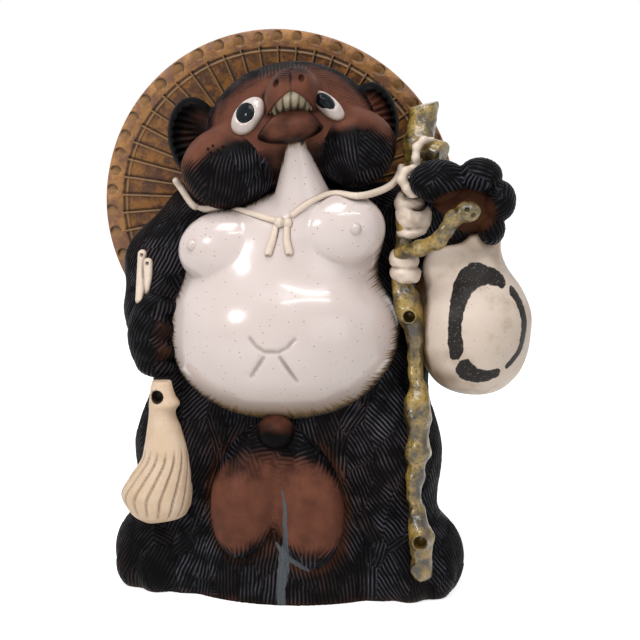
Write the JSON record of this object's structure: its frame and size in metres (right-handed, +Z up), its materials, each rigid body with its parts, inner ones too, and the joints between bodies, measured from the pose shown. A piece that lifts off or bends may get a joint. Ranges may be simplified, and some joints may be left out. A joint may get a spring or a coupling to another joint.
{
  "type": "tanuki figure",
  "caption": "Standing hollow stoneware tanuki with a straw hat behind its head, a flask and a purse in its paws and a rope-bound staff; a free-standing ornament on a flat base.",
  "frame": {"origin": "point of the flat underside on the body's axis", "axes": "+Z up, the figure faces -Y, and its left side is towards +X"},
  "size_m": [0.364, 0.2383, 0.4512],
  "materials": {
    "black_slip": "combed matte iron-black slip over red clay",
    "brown_clay": "bare red-brown stoneware, smoothed",
    "white_glaze": "glossy white glaze with iron specks",
    "black_glaze": "glossy black glaze",
    "cream_slip": "satin cream slip with brown stains",
    "straw_ochre": "satin ochre glaze over dark clay",
    "olive_glaze": "uneven olive-ochre glaze"
  },
  "bodies": {
    "root": {"body_front": "black_slip", "body_back": "black_slip", "base_slab": "black_slip", "left_leg": "black_slip", "right_leg": "black_slip", "left_foot": "black_slip", "right_foot": "black_slip", "tail": "black_slip", "left_cheek": "black_slip", "right_cheek": "black_slip", "left_ear": "black_slip", "right_ear": "black_slip", "right_arm": "black_slip", "right_paw": "black_slip", "left_arm": "black_slip", "left_paw": "black_slip", "head": "brown_clay", "snout": "brown_clay", "lower_jaw": "brown_clay", "left_pouch": "brown_clay", "right_pouch": "brown_clay", "pouch_knob": "brown_clay", "belly": "white_glaze", "chest_studs": "white_glaze", "left_eye": "white_glaze", "right_eye": "white_glaze", "left_pupil": "black_glaze", "right_pupil": "black_glaze", "teeth": "cream_slip", "cord_left": "cream_slip", "cord_right": "cream_slip", "cord_knot": "cream_slip", "cord_tails": "cream_slip", "purse": "cream_slip", "purse_strings": "cream_slip", "bottle": "cream_slip", "upper_wrap": "cream_slip", "lower_wrap": "cream_slip", "rope_tail": "cream_slip", "rope_loop": "cream_slip", "hat": "straw_ochre", "staff": "olive_glaze", "staff_branch": "olive_glaze", "staff_stub": "olive_glaze"}
  },
  "joints": []
}
